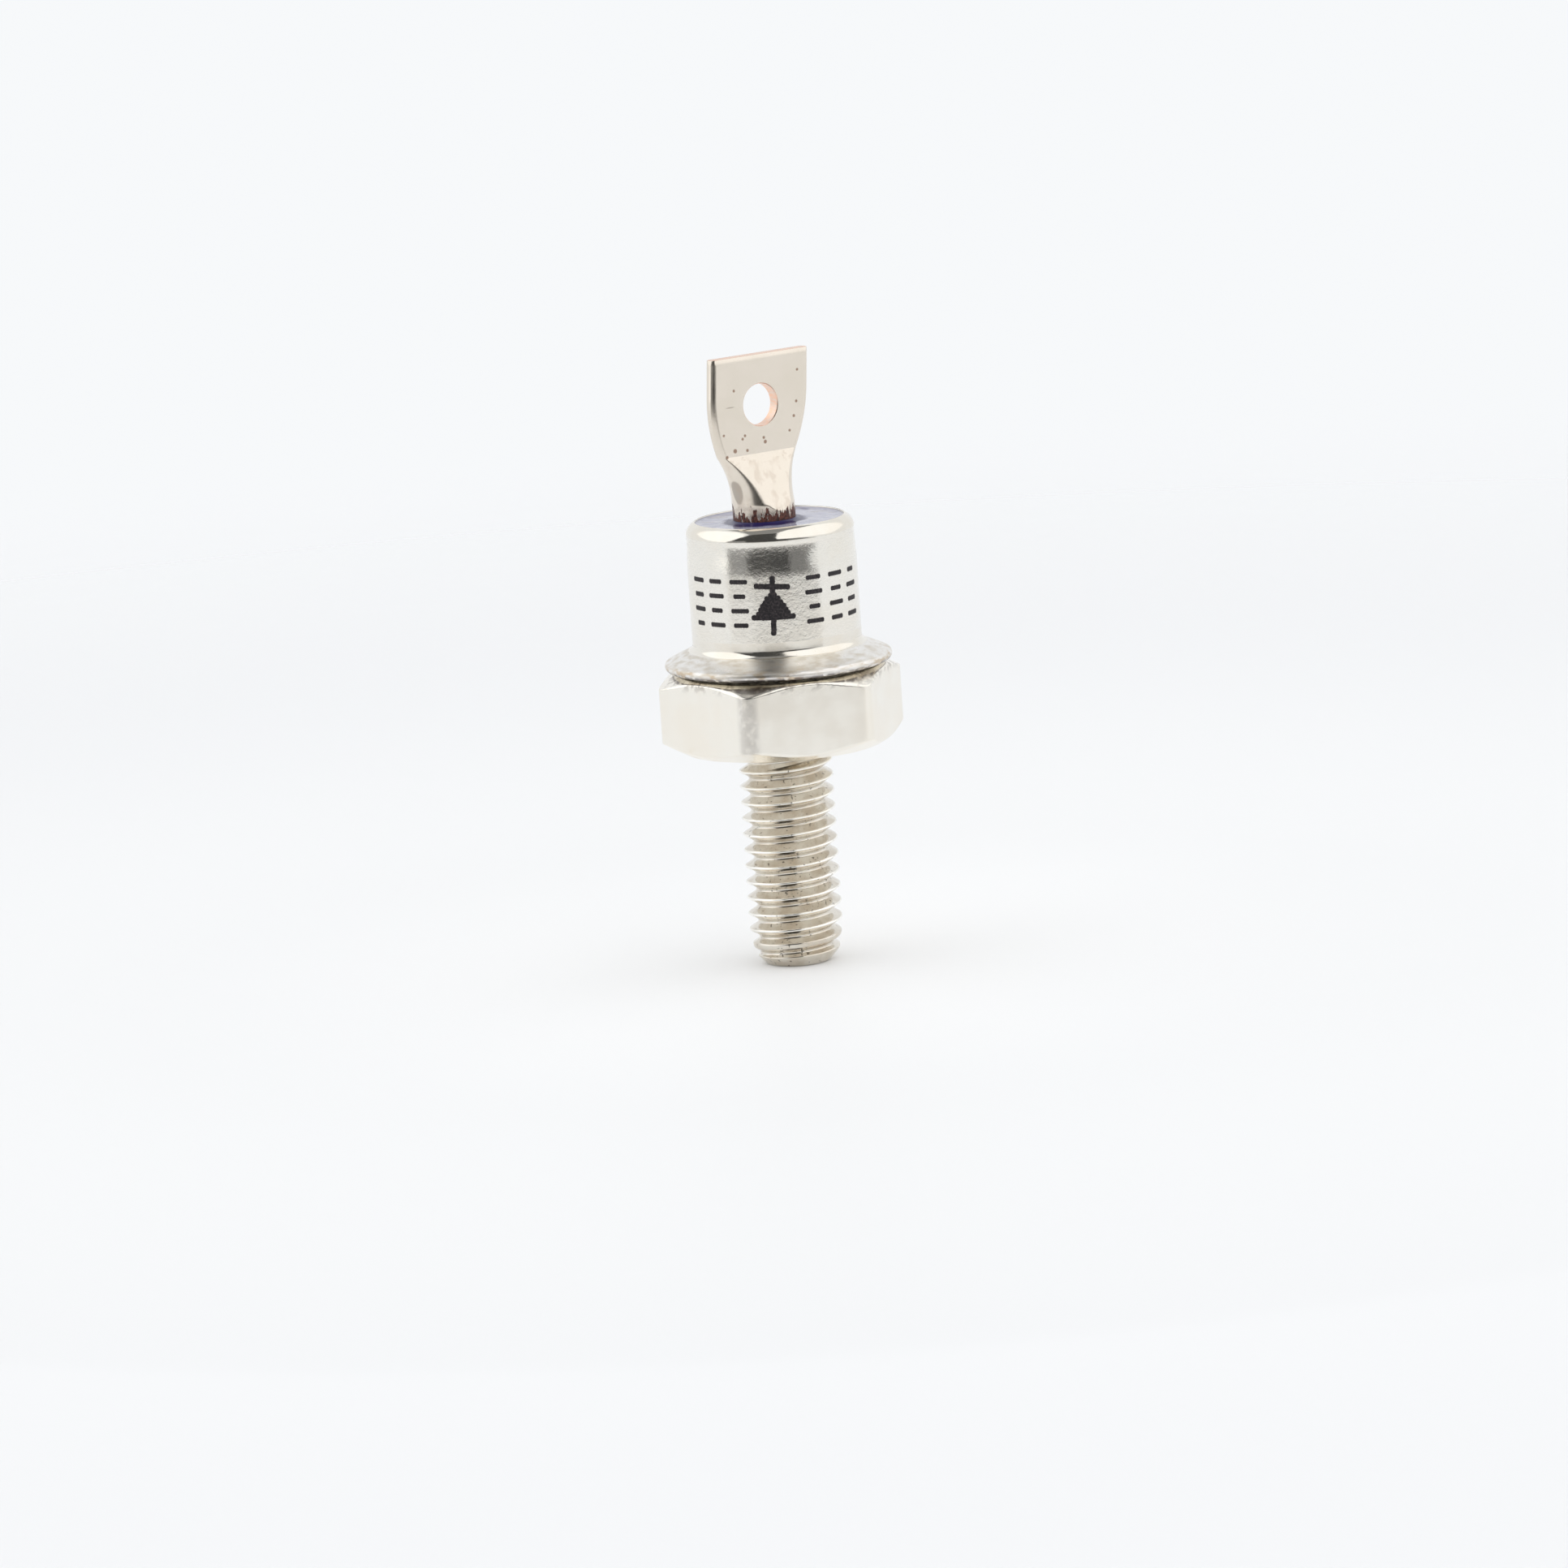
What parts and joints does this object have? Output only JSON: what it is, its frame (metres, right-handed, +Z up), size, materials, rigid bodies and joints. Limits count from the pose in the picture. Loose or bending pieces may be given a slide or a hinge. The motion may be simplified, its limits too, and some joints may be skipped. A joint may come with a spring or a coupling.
{
  "type": "stud-mounted welding diode",
  "caption": "Stud-mounted power rectifier diode: threaded stud, hexagonal base, welded metal cap, glass seal and a flattened tube terminal with a hole.",
  "frame": {"origin": "centre of the hexagon's seating face, on the stud's axis", "axes": "+Z up the axis to the terminal, -Z down the stud, Y along the hole in the terminal"},
  "size_m": [0.0144, 0.0154, 0.0382],
  "materials": {
    "stud_base": "satin nickel plate, with the thread worn bright",
    "cap_shell": "fine matt nickel plate",
    "glass_seal": "fused glass, hidden under the lacquer",
    "seal_lacquer": "violet lacquer",
    "terminal_tube": "nickel plate over copper, stained by flux",
    "inner_lead": "bare copper",
    "lower_solder": "lead solder",
    "lower_disc": "molybdenum",
    "die_solder": "lead solder",
    "silicon_die": "silicon",
    "top_solder": "lead solder",
    "upper_disc": "molybdenum",
    "lead_solder": "lead solder",
    "junction_coat": "cured silicone"
  },
  "bodies": {
    "root": {"stud_base": "stud_base", "cap_shell": "cap_shell", "glass_seal": "glass_seal", "seal_lacquer": "seal_lacquer", "terminal_tube": "terminal_tube", "inner_lead": "inner_lead", "lower_solder": "lower_solder", "lower_disc": "lower_disc", "die_solder": "die_solder", "silicon_die": "silicon_die", "top_solder": "top_solder", "upper_disc": "upper_disc", "lead_solder": "lead_solder", "junction_coat": "junction_coat"}
  },
  "joints": []
}
